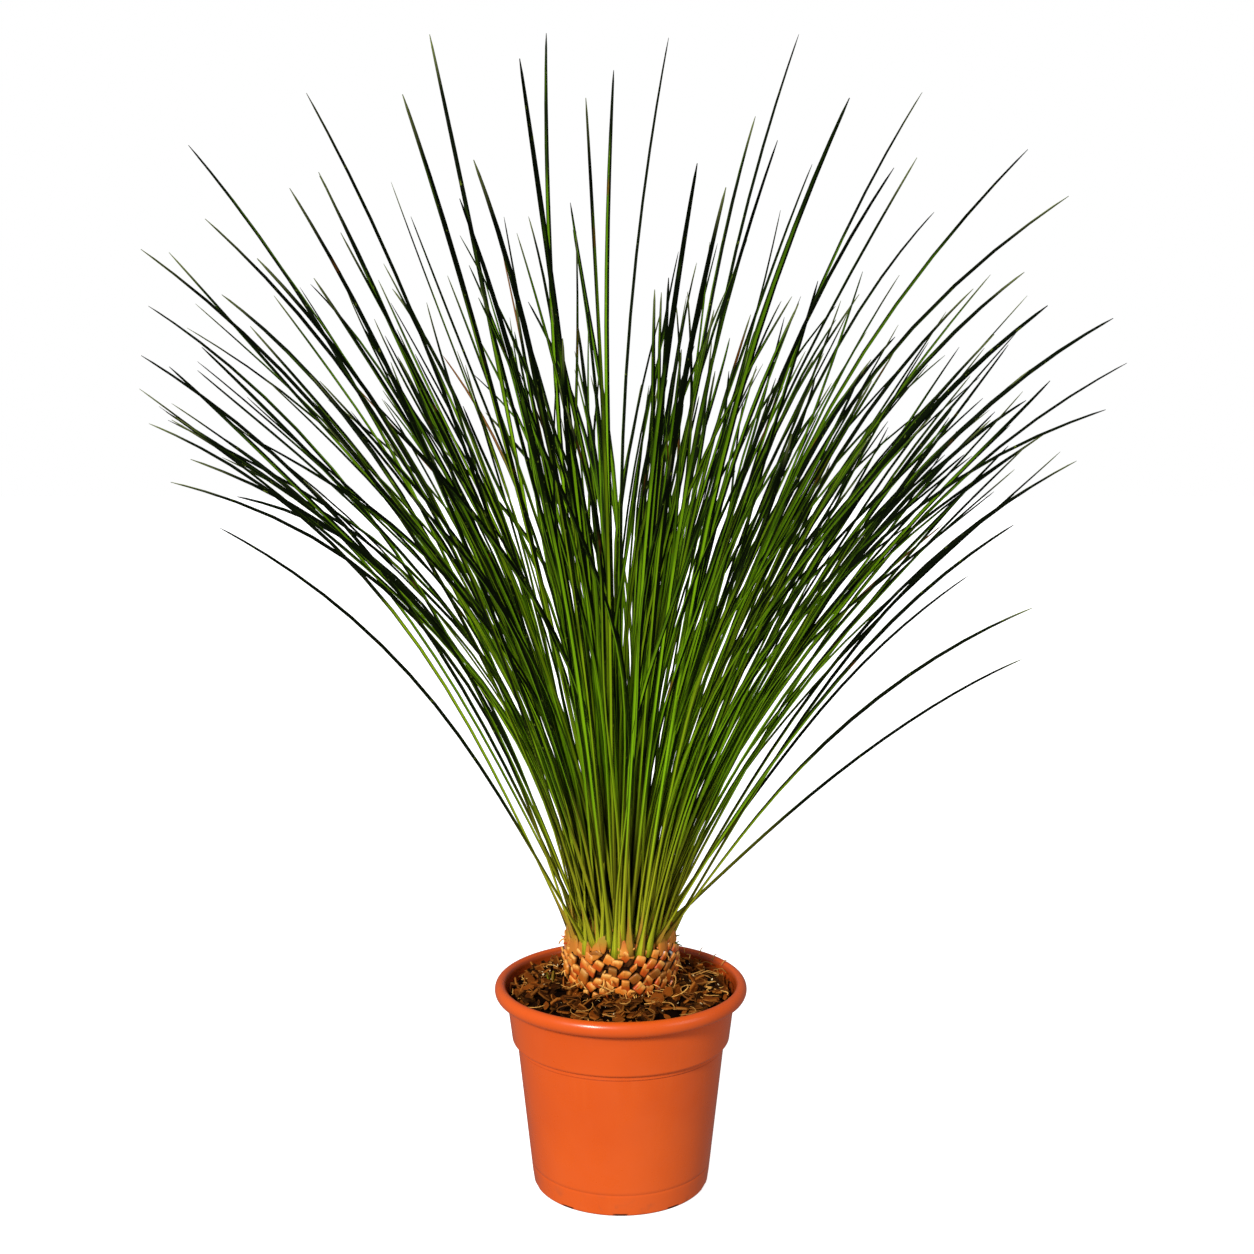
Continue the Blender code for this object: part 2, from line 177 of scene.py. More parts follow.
class Look:
    """A material whose nodes are added one by one. Colours are linear red, green and blue."""

    def __init__(self, name):
        self.material = bpy.data.materials.new(name)
        self.material.use_nodes = True
        self.tree = self.material.node_tree
        self.shader = self.tree.nodes["Principled BSDF"]

    def put(self, socket, value):
        if isinstance(value, bpy.types.NodeSocket):
            self.tree.links.new(value, socket)
        elif isinstance(value, tuple) and len(value) == 3 and socket.type == "RGBA":
            socket.default_value = (*value, 1.0)
        else:
            socket.default_value = value

    def node(self, kind, inputs=(), **settings):
        made = self.tree.nodes.new(kind)
        for key, value in settings.items():
            setattr(made, key, value)
        for key, value in dict(inputs).items():
            self.put(made.inputs[key], value)
        return made

    def math(self, operation, a, b=0.0, c=0.0):
        return self.node("ShaderNodeMath", {0: a, 1: b, 2: c}, operation=operation).outputs[0]

    def times(self, a, b):
        return self.math("MULTIPLY", a, b)

    def plus(self, a, b):
        return self.math("ADD", a, b)

    def remap(self, value, low, high, to_low=0.0, to_high=1.0):
        """Smoothly from one range to another, without going past its ends."""
        inputs = {"Value": value, "From Min": low, "From Max": high, "To Min": to_low, "To Max": to_high}
        return self.node("ShaderNodeMapRange", inputs, interpolation_type="SMOOTHSTEP").outputs[0]

    def mix(self, share, a, b):
        made = self.node("ShaderNodeMix", data_type="RGBA")
        for index, value in ((MIX_SHARE, share), (MIX_A, a), (MIX_B, b)):
            self.put(made.inputs[index], value)
        return made.outputs[MIX_RESULT]

    def value(self, name):
        """A value that mesh_piece puts on the points."""
        return self.node("ShaderNodeAttribute", attribute_name=name).outputs["Fac"]

    def place(self):
        return self.node("ShaderNodeTexCoord").outputs["Object"]

    def along(self, vector, axis):
        return self.node("ShaderNodeSeparateXYZ", {0: vector}).outputs[axis]

    def vector(self, operation, a, b=(0.0, 0.0, 0.0)):
        return self.node("ShaderNodeVectorMath", {0: a, 1: b}, operation=operation).outputs

    def scaled(self, vector, scale):
        return self.vector("MULTIPLY", vector, scale)[0]

    def joined(self, x, y, z=0.0):
        return self.node("ShaderNodeCombineXYZ", {0: x, 1: y, 2: z}).outputs[0]

    def noise(self, vector, scale, detail=3.0):
        inputs = {"Vector": vector, "Scale": scale, "Detail": detail, "Roughness": NOISE_ROUGHNESS}
        return self.node("ShaderNodeTexNoise", inputs).outputs["Fac"]

    def cells(self, vector, scale):
        """The distance from the nearest of many scattered spots."""
        return self.node("ShaderNodeTexVoronoi", {"Vector": vector, "Scale": scale}).outputs["Distance"]

    def bump(self, height, distance, strength=1.0):
        made = self.node("ShaderNodeBump", {"Height": height, "Distance": distance, "Strength": strength})
        self.put(self.shader.inputs["Normal"], made.outputs[0])

    def finish(self, colour, roughness, specular=0.5, coat=0.0, coat_roughness=0.2):
        self.put(self.shader.inputs["Base Color"], colour)
        self.put(self.shader.inputs["Roughness"], roughness)
        self.shader.inputs["Specular IOR Level"].default_value = specular
        self.shader.inputs["Coat Weight"].default_value = coat
        self.shader.inputs["Coat Roughness"].default_value = coat_roughness
        return self.material


def leaf_look():
    """Leaf faces that darken towards the tip, with streaks, rust, painted glints and a paler base that is partly the
    leaf's own colour and partly painted light. Painted shade turns the faces near-black towards the tip, the shaded
    faces first, draws dark edges and darkens the bases deep in the crown.

    share and reach are the place along the leaf, as a share and in metres. tone is the leaf's own random value,
    core its depth in the crown and dim how early the painted shade starts. Each leaf has four faces.
    """
    look = Look("leaf_fibre_green")
    share, tone, reach = look.value("share"), look.value("tone"), look.value("reach")
    around = look.along(look.node("ShaderNodeUVMap", uv_map="lengthwise").outputs[0], 0)
    face = look.math("FLOOR", look.times(around, 4.0))
    seed = look.plus(face, look.times(tone, 97.0))
    face_noise = look.node("ShaderNodeTexWhiteNoise", {"W": seed}, noise_dimensions="1D").outputs["Value"]
    long_noise = look.noise(look.joined(look.times(reach, 9.0), seed), 1.0, 2.0)
    streaks = look.noise(look.joined(look.times(reach, 5.0), look.times(around, 26.0), seed), 1.0)

    green = look.mix(look.remap(streaks, 0.3, 0.7), (0.135, 0.340, 0.0022), (0.350, 0.660, 0.0070))
    green = look.mix(look.remap(tone, 0.50, 1.0, 0.0, 0.65), green, (0.300, 0.400, 0.006))
    green = look.mix(look.remap(share, 0.35, 0.90, 0.0, 0.85), green, (0.060, 0.160, 0.0015))

    # Painted shade: every other face is a lit face, and the faces turn near-black from a point along the leaf that
    # comes later on lit faces and earlier on lower leaves. Some shaded faces get painted shade all along.
    lit_face = look.times(look.math("FRACT", look.math("MULTIPLY_ADD", face, 0.5, 0.5)), 2.0)
    dark_from = look.plus(look.math("MULTIPLY_ADD", face_noise, 0.30, long_noise), look.times(lit_face, 0.42))
    dark_at = look.math("SUBTRACT", look.plus(share, look.value("dim")), dark_from)
    colour = look.mix(look.remap(dark_at, -0.26, 0.0, 0.0, 0.98), green, (0.0012, 0.0030, 0.0004))
    shaded = look.times(look.remap(face_noise, 0.42, 0.56, 0.90, 0.0), look.remap(lit_face, 0.6, 0.4))
    colour = look.mix(shaded, colour, (0.0040, 0.0085, 0.0010))

    pale_tip = look.times(look.remap(share, 0.93, 1.0), look.remap(tone, 0.45, 0.6))
    colour = look.mix(pale_tip, colour, (0.20, 0.24, 0.07))
    # Painted glints: small pale yellow-green spots along the leaf.
    spots = look.noise(look.joined(look.times(reach, 170.0), seed, look.times(around, 3.0)), 1.0, 2.0)
    colour = look.mix(look.remap(spots, 0.66, 0.74, 0.0, 0.45), colour, (0.300, 0.420, 0.030))
    rust = look.noise(look.joined(look.times(reach, 14.0), seed, 4.0), 1.0, 4.0)
    colour = look.mix(look.remap(rust, 0.66, 0.74, 0.0, 0.8), colour, (0.20, 0.065, 0.008))
    dried = look.times(look.remap(tone, 0.007, 0.006), look.remap(share, 0.70, 0.8))
    colour = look.mix(dried, colour, (0.30, 0.13, 0.035))

    base = look.plus(reach, look.times(look.math("SUBTRACT", long_noise, 0.5), 0.05))
    # The paler yellow-green base is partly the leaf's own colour and partly painted light.
    lit = look.mix(look.remap(streaks, 0.35, 0.65), (0.280, 0.310, 0.010), (0.560, 0.550, 0.022))
    colour = look.mix(look.remap(base, 0.17, 0.030, 0.0, 0.92), colour, lit)
    tan_base = look.times(look.remap(base, 0.034, 0.010), look.remap(face_noise, 0.70, 0.78, 0.0, 0.8))
    colour = look.mix(tan_base, colour, (0.500, 0.200, 0.035))
    # Painted shade on the bases of leaves deep in the crown.
    crown_shade = look.times(look.remap(base, 0.20, 0.040), look.remap(look.value("core"), 0.10, 0.34, 0.0, 0.95))
    colour = look.mix(crown_shade, colour, (0.0060, 0.0080, 0.0008))
    # Painted shade: a dark line along two opposite edges of each leaf.
    side = look.math("ABSOLUTE", look.math("COSINE", look.times(around, 2 * math.pi)))
    edge_shade = look.times(look.remap(side, 0.80, 0.95), look.remap(long_noise, 0.30, 0.50, 0.25, 0.85))
    colour = look.mix(edge_shade, colour, (0.0060, 0.0100, 0.0010))

    wave = {"Vector": look.joined(around, 0.0), "Scale": 9.0, "Distortion": 0.4}
    look.bump(look.node("ShaderNodeTexWave", wave, bands_direction="X").outputs["Fac"], 0.0002, 0.6)
    return look.finish(colour, look.remap(long_noise, 0.3, 0.7, 0.50, 0.70), specular=0.06)


def pot_look():
    """Moulded plastic, scuffed at its foot, with painted shade inside, in two grooves and in the notches under the
    foot.
    """
    look = Look("terracotta_plastic")
    place = look.place()
    broad = look.noise(place, 7.0, 3.0)
    fine = look.noise(place, 190.0, 3.0)
    streak = look.noise(look.scaled(place, (70.0, 70.0, 4.0)), 1.0, 3.0)
    colour = look.mix(look.remap(broad, 0.3, 0.7), (0.73, 0.092, 0.006), (0.80, 0.112, 0.010))
    colour = look.mix(look.remap(streak, 0.55, 0.8, 0.0, 0.18), colour, (0.84, 0.15, 0.022))
    height = look.along(place, 2)
    scuff = look.times(look.remap(height, 0.03, 0.0), look.remap(look.noise(place, 60.0, 4.0), 0.5, 0.7))
    colour = look.mix(look.times(scuff, 0.45), colour, (0.40, 0.09, 0.03))
    specks = look.remap(look.cells(place, 160.0), 0.10, 0.06, 0.0, 0.25)
    colour = look.mix(specks, colour, (0.55, 0.10, 0.03))
    level = look.scaled(place, (1.0, 1.0, 0.0))
    facing = look.node("ShaderNodeTexCoord").outputs["Normal"]
    outward = look.vector("DOT_PRODUCT", facing, look.vector("NORMALIZE", level)[0])["Value"]
    # Painted shade: the inner wall is darker.
    inside = look.times(look.remap(outward, -0.55, -0.92), look.remap(height, 0.01, 0.03))
    colour = look.mix(inside, colour, (0.450, 0.060, 0.006))
    # Painted shade in the groove under the collar and in the groove above the foot.
    collar_groove_shade = look.times(look.remap(height, 0.1346, 0.1356), look.remap(height, 0.1370, 0.1360))
    foot_line = look.times(look.remap(height, 0.0204, 0.0212), look.remap(height, 0.0222, 0.0216))
    groove_shade = look.plus(look.times(collar_groove_shade, 0.50), look.times(foot_line, 0.24))
    colour = look.mix(groove_shade, colour, (0.420, 0.045, 0.003))
    radius = look.vector("LENGTH", level)["Value"]
    # Painted shade in the notches of the slots under the foot ring.
    under = look.times(look.remap(height, 0.0046, 0.0038), look.remap(radius, 0.0829, 0.0826))
    colour = look.mix(look.times(under, 0.92), colour, (0.050, 0.008, 0.001))
    look.bump(look.plus(fine, look.times(streak, 0.6)), 0.00018, 0.35)
    rough = look.remap(look.noise(place, 35.0, 4.0), 0.3, 0.75, 0.24, 0.38)
    return look.finish(colour, rough, specular=0.42, coat=0.30, coat_roughness=0.20)


def stub_look():
    """Dry stubs with a painted highlight at their upper outer edge, red below that is partly painted shade, and
    painted shade at their lower and inner ends. out and up are shares of the stub's own size.
    """
    look = Look("old_leaf_stubs")
    place = look.place()
    tone, out, up = look.value("tone"), look.value("out"), look.value("up")
    grain = look.noise(look.scaled(place, (420.0, 420.0, 130.0)), 1.0, 4.0)
    blotch = look.noise(place, 150.0, 3.0)
    second = look.math("FRACT", look.times(tone, 7.3))
    gold = look.mix(look.remap(second, 0.2, 0.9), (0.680, 0.165, 0.013), (0.900, 0.258, 0.025))
    # Red on the lower side of some stubs, partly their own colour and partly painted shade.
    low = look.plus(look.times(up, -0.9), look.times(blotch, 0.9))
    red = look.times(look.remap(low, -0.35, 0.25, 0.0, 0.95), look.remap(tone, 0.30, 0.62))
    colour = look.mix(red, gold, (0.620, 0.085, 0.009))
    pink = look.times(look.remap(tone, 0.950, 0.960), look.remap(up, 0.55, 0.90, 0.0, 0.85))
    # Painted highlight on the upper outer edge of each stub.
    painted_highlight = look.times(look.remap(up, 0.45, 0.95), look.remap(out, 0.45, 0.95))
    painted_highlight = look.times(painted_highlight, look.remap(blotch, 0.35, 0.62, 0.32, 0.95))
    colour = look.mix(painted_highlight, colour, (0.980, 0.490, 0.105))
    colour = look.mix(pink, colour, (0.900, 0.300, 0.180))
    colour = look.mix(look.remap(grain, 0.52, 0.70, 0.0, 0.45), colour, (0.280, 0.080, 0.010))
    brown = look.remap(tone, 0.16, 0.12, 0.0, 0.7)
    colour = look.mix(brown, colour, (0.200, 0.066, 0.010))
    # Painted shade on the lowest part of each stub.
    colour = look.mix(look.remap(up, 0.16, 0.02, 0.0, 0.8), colour, (0.150, 0.035, 0.005))
    # Painted shade in the crevices, at the inner end of each stub.
    colour = look.mix(look.remap(out, 0.93, 0.66), colour, (0.012, 0.0030, 0.0005))
    look.bump(look.plus(grain, blotch), 0.0004, 0.6)
    return look.finish(colour, look.remap(blotch, 0.3, 0.7, 0.28, 0.46), specular=0.38)


def sheath_look():
    look = Look("leaf_sheaths")
    place = look.place()
    tone, up = look.value("tone"), look.value("up")
    grain = look.noise(look.scaled(place, (300.0, 300.0, 60.0)), 1.0, 4.0)
    height = look.along(place, 2)
    tan = look.mix(look.remap(tone, 0.1, 0.9), (0.560, 0.180, 0.019), (0.750, 0.280, 0.036))
    orange = look.times(look.remap(tone, 0.62, 0.75, 0.0, 0.8), look.remap(up, 0.3, 0.8))
    colour = look.mix(orange, tan, (0.620, 0.170, 0.030))
    green = look.times(look.remap(height, 0.2400, 0.2500, 0.0, 0.65), look.remap(tone, 0.52, 0.40))
    colour = look.mix(green, colour, (0.300, 0.270, 0.012))
    dots = look.remap(look.cells(place, 260.0), 0.18, 0.10, 0.0, 0.75)
    colour = look.mix(dots, colour, (0.150, 0.045, 0.008))
    colour = look.mix(look.remap(grain, 0.55, 0.75, 0.0, 0.5), colour, (0.240, 0.080, 0.012))
    # Painted shade on the higher rows, deep in the crown.
    colour = look.mix(look.remap(height, 0.252, 0.266, 0.0, 0.75), colour, (0.060, 0.018, 0.003))
    # Painted shade on the side of each plate that faces the trunk.
    colour = look.mix(look.remap(look.value("out"), 0.60, 0.25), colour, (0.050, 0.014, 0.003))
    look.bump(grain, 0.0004, 0.6)
    return look.finish(colour, 0.55, specular=0.2)


def core_look():
    # The core shows only in the crevices between stubs, and its dark colour is painted shade there.
    look = Look("trunk_crevice_shade")
    place = look.place()
    grain = look.noise(look.scaled(place, (300.0, 300.0, 90.0)), 1.0, 4.0)
    colour = look.mix(look.remap(grain, 0.3, 0.7), (0.016, 0.004, 0.001), (0.110, 0.034, 0.006))
    look.bump(grain, 0.0012, 1.0)
    return look.finish(colour, 0.8, specular=0.08)


def bark_look():
    """Bark with paler edges. An edge value under zero is the bed under the chips, near-black with painted shade."""
    look = Look("bark_chips")
    place, tone = look.place(), look.value("tone")
    grain = look.noise(look.scaled(place, (90.0, 260.0, 260.0)), 1.0, 5.0)
    dust = look.noise(place, 900.0, 2.0)
    base = look.mix(look.remap(tone, 0.22, 0.95), (0.010, 0.0025, 0.0003), (0.220, 0.051, 0.0046))
    colour = look.mix(look.remap(grain, 0.50, 0.75, 0.0, 0.45), base, (0.240, 0.080, 0.0110))
    colour = look.mix(look.remap(grain, 0.44, 0.28, 0.0, 0.6), colour, (0.014, 0.0035, 0.0006))
    colour = look.mix(look.remap(dust, 0.60, 0.72, 0.0, 0.25), colour, (0.260, 0.100, 0.0200))
    edge = look.times(look.remap(look.value("edge"), 0.55, 0.95), look.remap(tone, 0.25, 0.6, 0.05, 0.65))
    colour = look.mix(edge, colour, (0.400, 0.140, 0.0200))
    # Painted shade: the bed between the chips is near-black.
    colour = look.mix(look.remap(look.value("edge"), -0.4, -0.8), colour, (0.0060, 0.0015, 0.0003))
    look.bump(grain, 0.0009, 0.9)
    return look.finish(colour, look.remap(grain, 0.3, 0.7, 0.75, 0.9), specular=0.04)


def fibre_look():
    """Brown to pale fibres, with a tone from 0 to 1. A tone of 2 is red, and one of -1 is green."""
    look = Look("coir_fibres")
    tone = look.value("tone")
    grain = look.noise(look.place(), 420.0, 2.0)
    colour = look.mix(look.remap(tone, 0.05, 0.95), (0.150, 0.042, 0.004), (0.920, 0.470, 0.105))
    colour = look.mix(look.remap(grain, 0.5, 0.7, 0.0, 0.5), colour, (0.190, 0.060, 0.008))
    colour = look.mix(look.remap(tone, 1.2, 1.8), colour, (0.620, 0.075, 0.012))
    colour = look.mix(look.remap(tone, -0.2, -0.8), colour, (0.075, 0.160, 0.010))
    look.bump(grain, 0.0002, 0.5)
    return look.finish(colour, 0.6, specular=0.12)


def grain_look():
    look = Look("pale_grains")
    rough = look.noise(look.place(), 900.0, 3.0)
    colour = look.mix(look.remap(rough, 0.3, 0.7), (0.62, 0.42, 0.16), (0.95, 0.82, 0.50))
    look.bump(rough, 0.0004, 0.8)
    return look.finish(colour, 0.7, specular=0.1)


def floor_look():
    look = Look("pale_floor")
    tint = look.mix(look.noise(look.place(), 0.6, 2.0), (0.80, 0.80, 0.80), (0.84, 0.84, 0.84))
    look.shader.inputs["Emission Color"].default_value = (1.0, 1.0, 1.0, 1.0)
    look.shader.inputs["Emission Strength"].default_value = 0.80
    return look.finish(tint, 0.9, specular=0.1)


# Pot

POT_HEIGHT, RIM_DEPTH = 0.1965, 0.014
RIM_RADIUS, RIM_INNER = 0.120, 0.109
COLLAR_TOP, COLLAR_LOW, COLLAR_LOW_Z = 0.1088, 0.1038, 0.1435
WALL_TOP, WALL_TOP_Z = 0.0985, 0.135
FOOT_BAND, FOOT_BAND_Z, FOOT = 0.0865, 0.0245, 0.0838
FOOT_ROUNDING = 0.003
POT_WALL, POT_FLOOR = 0.0025, 0.006
POT_SIDES, SHARP_EDGE = 192, 38
# Round holes in the floor, and slots under the foot ring.
DRAINS = 10
HOLE_PLACE, HOLE_RADIUS = 0.060, 0.0045
SLOT_PLACE, SLOT_SIZE = FOOT + 0.0137, (0.03, 0.014, 0.006)


def inner_radius(height):
    """The radius of the pot's inner wall."""
    outer = (
        (FOOT, 0.0), (FOOT_BAND, FOOT_BAND_Z), (WALL_TOP, WALL_TOP_Z),
        (COLLAR_LOW, COLLAR_LOW_Z), (COLLAR_TOP, POT_HEIGHT - RIM_DEPTH),
    )
    return between(outer, height) - POT_WALL


def pot_profile():
    rim_low = POT_HEIGHT - RIM_DEPTH
    inside = [(0.0, POT_FLOOR)]
    inside += [(inner_radius(z), z) for z in (POT_FLOOR, FOOT_BAND_Z, WALL_TOP_Z, COLLAR_LOW_Z, 0.155, 0.168, rim_low)]
    rim_middle = ((RIM_RADIUS + RIM_INNER) / 2, POT_HEIGHT - RIM_DEPTH / 2)
    rim = arc(rim_middle, (RIM_RADIUS - RIM_INNER) / 2, RIM_DEPTH / 2, 180, -70, 36)
    collar = [(COLLAR_TOP + 0.0004, rim_low + 0.0005), (COLLAR_TOP - 0.0002, rim_low - 0.0012)]
    collar += [(between(((COLLAR_LOW, COLLAR_LOW_Z), (COLLAR_TOP, rim_low)), z), z) for z in (0.17, 0.16, 0.15)]
    collar += arc((COLLAR_LOW - 0.003, COLLAR_LOW_Z), 0.003, 0.003, 0, -90, 8)
    wall_line = ((FOOT_BAND, FOOT_BAND_Z), (WALL_TOP, WALL_TOP_Z))
    step = ((0.0011, 0.1405), (0.0010, 0.1366), (-0.0002, 0.1360), (0.0, WALL_TOP_Z))
    wall = [(WALL_TOP + out, z) for out, z in step]
    wall += [(between(wall_line, z), z) for z in (0.134, 0.128, 0.11, 0.09, 0.07, 0.05, 0.035, FOOT_BAND_Z)]
    foot_line = ((FOOT, 0.0), (FOOT_BAND, FOOT_BAND_Z))
    low = between(foot_line, 0.0212)
    groove = [(low + 0.0001, 0.0220), (low - 0.0003, 0.0215), (low - 0.0001, 0.0206)]
    foot = groove + [(between(foot_line, z), z) for z in (0.019, 0.012)]
    foot += arc((FOOT - FOOT_ROUNDING, FOOT_ROUNDING), FOOT_ROUNDING, FOOT_ROUNDING, 0, -90, 8)
    ring_inside = FOOT - FOOT_ROUNDING - 0.0075
    under = [(ring_inside, 0.0), (ring_inside - 0.003, 0.003), (0.033, 0.003), (0.030, 0.0), (0.0, 0.0)]
    return inside + rim + collar + wall + foot + under


def make_pot():
    points, faces = lathe(pot_profile(), POT_SIDES)
    pot = mesh_piece("pot_shell", points, faces, pot_look(), "pot_plastic", replaces=["pot"])
    cutters = []
    for i in range(DRAINS):
        turn = 2 * math.pi * (i + 0.5) / DRAINS
        x, y = math.cos(turn), math.sin(turn)
        place = (HOLE_PLACE * x, HOLE_PLACE * y, POT_FLOOR / 2)
        bpy.ops.mesh.primitive_cylinder_add(vertices=24, radius=HOLE_RADIUS, depth=4 * POT_FLOOR, location=place)
        cutters.append(bpy.context.object)
        place = (SLOT_PLACE * x, SLOT_PLACE * y, 0.0)
        bpy.ops.mesh.primitive_cube_add(size=1.0, location=place, rotation=(0, 0, turn), scale=SLOT_SIZE)
        cutters.append(bpy.context.object)
    cutter = cutters[0]
    with bpy.context.temp_override(active_object=cutter, selected_editable_objects=cutters):
        bpy.ops.object.join()
    cut = pot.modifiers.new("Drains", "BOOLEAN")
    cut.object, cut.operation, cut.solver = cutter, "DIFFERENCE", "EXACT"
    with bpy.context.temp_override(object=pot, active_object=pot):
        bpy.ops.object.modifier_apply(modifier=cut.name)
    bpy.data.objects.remove(cutter, do_unlink=True)
    pot.data.set_sharp_from_angle(angle=math.radians(SHARP_EDGE))


# Trunk

# Radius and height.
TRUNK_OUTLINE = (
    (0.0360, 0.150), (0.0405, 0.165), (0.0445, 0.180), (0.0475, 0.190), (0.0505, 0.199),
    (0.0530, 0.209), (0.0537, 0.220), (0.0530, 0.232), (0.0500, 0.246),
)
CROWN_RADIUS, CROWN_HEIGHT, CROWN_RISE = 0.0500, 0.246, 0.026
# The core lies this far under the outline.
CORE_DEPTH, TRUNK_FOOT = 0.003, 0.150


def crown_height(radius):
    """The height of the trunk's domed top at a radius."""
    return CROWN_HEIGHT + CROWN_RISE * (1 - (radius / CROWN_RADIUS) ** 2)


def make_core():
    crown = [(r, crown_height(r) - CORE_DEPTH) for r in np.linspace(0, CROWN_RADIUS - CORE_DEPTH, 8)]
    heights = np.linspace(CROWN_HEIGHT - 0.001, TRUNK_FOOT, 24)
    side = [(between(TRUNK_OUTLINE, z) - CORE_DEPTH, z) for z in heights]
    points, faces = lathe(crown + side + [(0.0, TRUNK_FOOT)], 96)
    turn, z = np.arctan2(points[:, 1], points[:, 0]), points[:, 2]
    rough = 0.0008 * (np.sin(17 * turn + 300 * z) + np.sin(-23 * turn + 410 * z))
    points[:, :2] *= 1 + (rough / np.maximum(np.hypot(points[:, 0], points[:, 1]), 0.02))[:, None]
    mesh_piece("trunk_core", points, faces, core_look(), "trunk", replaces=["trunk"])


def block_grid(cells):
    """Points of a cube's surface from -1 to 1, with its square faces."""
    ticks = np.sin(np.linspace(-1, 1, cells + 1) * math.pi / 2)
    index, points, faces = {}, [], []

    def corner(point):
        key = tuple(round(float(v), 6) for v in point)
        if key not in index:
            index[key] = len(points)
            points.append(key)
        return index[key]

    for axis in range(3):
        for end in (-1.0, 1.0):
            for i in range(cells):
                for j in range(cells):
                    spots = []
                    for di, dj in ((0, 0), (1, 0), (1, 1), (0, 1)):
                        point = [0.0, 0.0, 0.0]
                        point[axis] = end
                        point[(axis + 1) % 3] = ticks[i + di]
                        point[(axis + 2) % 3] = ticks[j + dj]
                        spots.append(corner(point))
                    faces.append(tuple(spots if end > 0 else spots[::-1]))
    return np.array(points), faces


def stub(rng, grid, turn, z, radius, half, spin, lean, roundness, taper, tone):
    """A rounded block on the trunk's side.

    half is its half width round the trunk, up it and out of it. A lean brings its upper end outwards, and a
    higher roundness makes it squarer.
    """
    points, faces = grid
    p = points / (np.abs(points) ** roundness).sum(axis=1, keepdims=True) ** (1 / roundness)
    up01 = (p[:, 1] + 1) / 2
    out01 = (p[:, 2] + 1) / 2
    q = p.copy()
    q[:, 0] = q[:, 0] * (1 - taper * up01) + rng.normal(0, 0.14) * p[:, 1]
    q[:, 1] += rng.normal(0, 0.16) * p[:, 0]
    wave = rng.uniform(-1, 1, (3, 3))
    q += 0.06 * np.sin(q @ wave.T * 3.0 + rng.uniform(0, 6, 3))
    q *= half
    c, s = math.cos(spin), math.sin(spin)
    q = np.stack([c * q[:, 0] - s * q[:, 1], s * q[:, 0] + c * q[:, 1], q[:, 2]], axis=1)
    c, s = math.cos(lean), math.sin(lean)
    q = np.stack([q[:, 0], c * q[:, 1] - s * q[:, 2], s * q[:, 1] + c * q[:, 2]], axis=1)
    out, side = level_ways(turn)
    world = out * radius + UP * z + q[:, :1] * side + q[:, 1:2] * UP + q[:, 2:] * out
    return world, faces, {"tone": tone, "out": out01, "up": up01}


# How many stubs, and the heights between which they stand.
STUBS, STUBS_FROM, STUBS_TO = 172, 0.192, 0.2425


def make_stubs():
    rng = np.random.default_rng(11)
    grid = block_grid(5)
    parts = []
    for i in range(STUBS):
        z = STUBS_FROM + (STUBS_TO - STUBS_FROM) * (i + 0.5) / STUBS
        turn = i * GOLDEN_TURN + rng.normal(0, 0.035)
        half = np.array([rng.uniform(0.0042, 0.0056), rng.uniform(0.0048, 0.0067), rng.uniform(0.0038, 0.0054)])
        if rng.random() < 0.16:
            half[:2] *= (0.62, 0.80)
        sunk = rng.uniform(0.0022, 0.0040) + 0.0020 * max(z - 0.228, 0) / 0.015
        radius = between(TRUNK_OUTLINE, z) - sunk
        spin, lean = rng.normal(-0.45, 0.20), rng.uniform(0.08, 0.46)
        roundness = rng.uniform(4.5, 9.0)
        parts.append(stub(rng, grid, turn, z, radius, half, spin, lean, roundness, 0.10, rng.random()))
    joined_piece("trunk_stubs", parts, stub_look(), "trunk")


# Rows of plates round the crown: how many, height, radius, half width, half height, inward lean and taper.
SHEATH_ROWS = (
    (19, 0.2410, 0.0490, 0.0080, 0.0090, 0.08, 0.45),
    (23, 0.2455, 0.0468, 0.0066, 0.0095, 0.25, 0.78),
    (19, 0.2520, 0.0400, 0.0056, 0.0095, 0.45, 0.85),
    (13, 0.2590, 0.0300, 0.0052, 0.0090, 0.35, 0.85),
)
# Broad plates over the highest stubs: their turn in degrees, height, half width and half height.
BROAD_SHEATHS = (
    (196, 0.2385, 0.0085, 0.0095), (212, 0.2370, 0.0095, 0.0105), (229, 0.2400, 0.0080, 0.0085),
    (244, 0.2385, 0.0062, 0.0075), (318, 0.2400, 0.0060, 0.0080), (171, 0.2390, 0.0080, 0.0090),
    (184, 0.2425, 0.0075, 0.0095), (345, 0.2410, 0.0070, 0.0095), (2, 0.2420, 0.0070, 0.0090),
)


def make_sheaths():
    rng = np.random.default_rng(12)
    grid = block_grid(6)
    parts = []
    for row, (count, z, radius, wide, tall, inward, taper) in enumerate(SHEATH_ROWS):
        for i in range(count):
            turn = 2 * math.pi * (i + 0.5 * (row % 2)) / count + rng.normal(0, 0.05)
            half = np.array([wide * rng.uniform(0.8, 1.2), tall * rng.uniform(0.75, 1.15), 0.0026])
            away = radius + rng.normal(0, 0.0007)
            lean, spin = rng.normal(0, 0.07) - inward, rng.normal(-0.06, 0.16)
            low = z + rng.normal(0, 0.0022)
            parts.append(stub(rng, grid, turn, low, away, half, spin, lean, 3.0, taper, rng.random()))
    for degrees, z, wide, tall in BROAD_SHEATHS:
        half = np.array([wide, tall, 0.0024])
        away = between(TRUNK_OUTLINE, z) - 0.0006
        spin, lean = rng.normal(0.10, 0.12), -0.10
        turn, tone = math.radians(degrees), rng.uniform(0.2, 0.6)
        parts.append(stub(rng, grid, turn, z, away, half, spin, lean, 3.4, 0.30, tone))
    joined_piece("crown_sheaths", parts, sheath_look(), "trunk")


